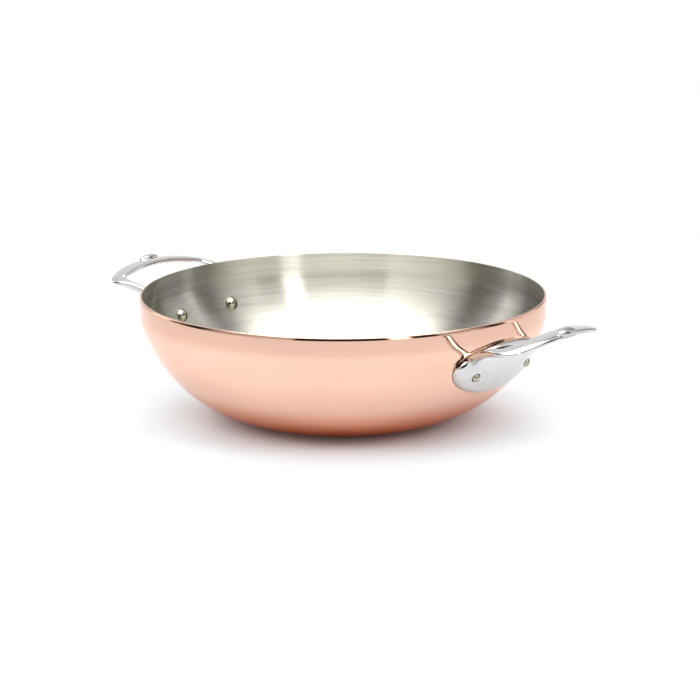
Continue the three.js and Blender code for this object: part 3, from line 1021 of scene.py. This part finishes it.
def low_lamp(turn, power):
    """A square lamp aimed at the wok from an angle around it, seen by neither camera nor reflections."""
    lamp = bpy.data.objects.new("low_lamp", bpy.data.lights.new("low_lamp", "AREA"))
    lamp.data.size = LAMP_SIZE
    lamp.data.spread = LAMP_SPREAD
    lamp.data.energy = power
    lamp.data.color = LAMP_TINT
    away = Vector((math.cos(turn), math.sin(turn), math.tan(LAMP_ELEVATION))).normalized()
    aim = away.to_track_quat("Z", "Y").to_matrix().to_4x4()
    lamp.matrix_world = Matrix.Translation(LAMP_DISTANCE * away) @ aim
    lamp.visible_glossy = False
    lamp.visible_camera = False
    return lamp


def studio_floor(studio):
    """A wide square of plain paper."""
    corners = FLOOR_REACH * np.array([(-1, -1, 0), (1, -1, 0), (1, 1, 0), (-1, 1, 0)])
    floor = new_object("floor", corners, np.arange(4).reshape(1, 4))
    paper = bpy.data.materials.new("floor_paper")
    paper.use_nodes = True
    nodes = NodeMaker(paper.node_tree)
    matt = nodes.add("BsdfDiffuse", {"Color": (*studio.floor, 1)})
    nodes.add("OutputMaterial", {"Surface": matt.outputs[0]})
    floor.data.materials.append(paper)
    return floor


def studio_camera(studio, target):
    """The camera, aimed past the rim's middle."""
    camera = bpy.data.objects.new("camera", bpy.data.cameras.new("camera"))
    camera.data.lens = studio.lens
    camera.data.sensor_width = SENSOR_WIDTH
    camera.matrix_world = camera_matrix(studio, target)
    return camera


class WOK_OT_studio(Operator):
    """Sets up the floor, the light and the camera"""

    bl_idname = "wok.studio"
    bl_label = "Studio"

    def execute(self, context):
        scene = context.scene
        studio = scene.wok_studio
        floor = studio_floor(studio)
        scene.world = studio_world(studio)
        for degrees, power in LAMPS:
            lamp = low_lamp(studio.azimuth + math.radians(degrees), studio.lamps * power)
            scene.collection.objects.link(lamp)
        scene.camera = studio_camera(studio, Vector((0, 0, scene.wok_bowl.height)))
        scene.collection.objects.link(scene.camera)
        scene.view_settings.view_transform = "Standard"
        return {"FINISHED"}


class WOK_PT_sidebar(Panel):
    """The wok's sizes, colours and builders"""

    bl_idname = "WOK_PT_sidebar"
    bl_label = "Copper wok"
    bl_space_type = "VIEW_3D"
    bl_region_type = "UI"
    bl_category = "Wok"

    def draw(self, context):
        for name in SETTINGS:
            group = getattr(context.scene, name)
            box = self.layout.box()
            for prop in group.__annotations__:
                box.prop(group, prop)
        for builder in BUILDERS:
            self.layout.operator(builder.bl_idname)


SETTINGS = {"wok_bowl": WokBowl, "wok_handle": WokHandle, "wok_rivet": WokRivet, "wok_studio": WokStudio}
BUILDERS = (WOK_OT_copper_shell, WOK_OT_steel_lining, WOK_OT_cast_handles, WOK_OT_rivets, WOK_OT_studio)


def register():
    """Registers the settings, the builders and the panel."""
    for group in SETTINGS.values():
        bpy.utils.register_class(group)
    for name, group in SETTINGS.items():
        setattr(bpy.types.Scene, name, PointerProperty(type=group))
    for kind in (*BUILDERS, WOK_PT_sidebar):
        bpy.utils.register_class(kind)


def unregister():
    """Takes back what register added."""
    for kind in (WOK_PT_sidebar, *reversed(BUILDERS)):
        bpy.utils.unregister_class(kind)
    for name in SETTINGS:
        delattr(bpy.types.Scene, name)
    for group in reversed(SETTINGS.values()):
        bpy.utils.unregister_class(group)


def main():
    register()
    bpy.ops.wok.copper_shell()
    bpy.ops.wok.steel_lining()
    bpy.ops.wok.cast_handles()
    bpy.ops.wok.rivets()
    bpy.ops.wok.studio()


if __name__ == "__main__":
    main()
